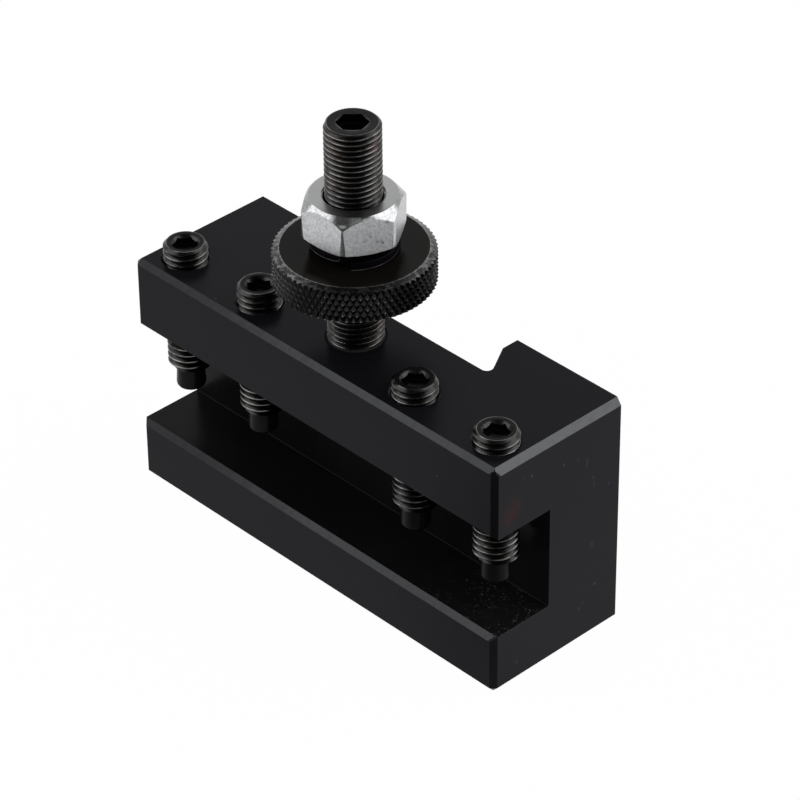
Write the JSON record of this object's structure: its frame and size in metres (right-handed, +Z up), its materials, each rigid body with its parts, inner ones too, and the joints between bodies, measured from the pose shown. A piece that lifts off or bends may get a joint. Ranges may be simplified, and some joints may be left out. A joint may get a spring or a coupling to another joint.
{
  "type": "quick change tool holder",
  "caption": "Steel lathe tool holder block with an open tool slot, dog-point clamping screws, a dovetail socket behind and a height stud with a knurled nut.",
  "frame": {"origin": "on the underside of the block, below the axis of the height stud", "axes": "+X along the tool and the block's length, +Y from the open front of the tool slot towards the dovetail, +Z up along the height stud"},
  "size_m": [0.0888, 0.0323, 0.0882],
  "materials": {
    "body_black": "satin black oxide",
    "stud_black": "black oxide",
    "screw_black": "black oxide",
    "knurl_black": "semi-gloss black oxide",
    "washer_blued": "blued spring steel",
    "zinc_bright": "bright zinc plate"
  },
  "bodies": {
    "holder": {"holder_body": "body_black", "height_stud": "stud_black"},
    "lock_washer": {"lock_washer": "washer_blued"},
    "knurled_nut": {"knurled_nut": "knurl_black"},
    "hex_nut": {"hex_nut": "zinc_bright"},
    "set_screw_1": {"set_screw_1": "screw_black"},
    "set_screw_2": {"set_screw_2": "screw_black"},
    "set_screw_3": {"set_screw_3": "screw_black"},
    "set_screw_4": {"set_screw_4": "screw_black"}
  },
  "joints": [
    {"name": "height_travel", "type": "slide", "parent": "holder", "child": "lock_washer", "axis": [0, 0, 1], "range_m": [-0.011, 0.012]},
    {"name": "knurled_nut_turn", "type": "hinge", "parent": "lock_washer", "child": "knurled_nut", "pos_m": [0, 0, 0.0574], "axis": [0, 0, 1], "range_deg": [-3962, 4322]},
    {"name": "hex_nut_turn", "type": "hinge", "parent": "lock_washer", "child": "hex_nut", "pos_m": [0, 0, 0.0671], "axis": [0, 0, 1], "range_deg": [-3962, 4322]},
    {"name": "screw_1_travel", "type": "slide", "parent": "holder", "child": "set_screw_1", "axis": [0, 0, 1], "range_m": [-0.0074, 0.0126]},
    {"name": "screw_2_travel", "type": "slide", "parent": "holder", "child": "set_screw_2", "axis": [0, 0, 1], "range_m": [-0.0077, 0.0123]},
    {"name": "screw_3_travel", "type": "slide", "parent": "holder", "child": "set_screw_3", "axis": [0, 0, 1], "range_m": [-0.00705, 0.01295]},
    {"name": "screw_4_travel", "type": "slide", "parent": "holder", "child": "set_screw_4", "axis": [0, 0, 1], "range_m": [-0.0065, 0.0135]}
  ],
  "couplings": [
    {"joint": "knurled_nut_turn", "follows": "height_travel", "rad_per_m": 6283.2},
    {"joint": "hex_nut_turn", "follows": "height_travel", "rad_per_m": 6283.2}
  ]
}
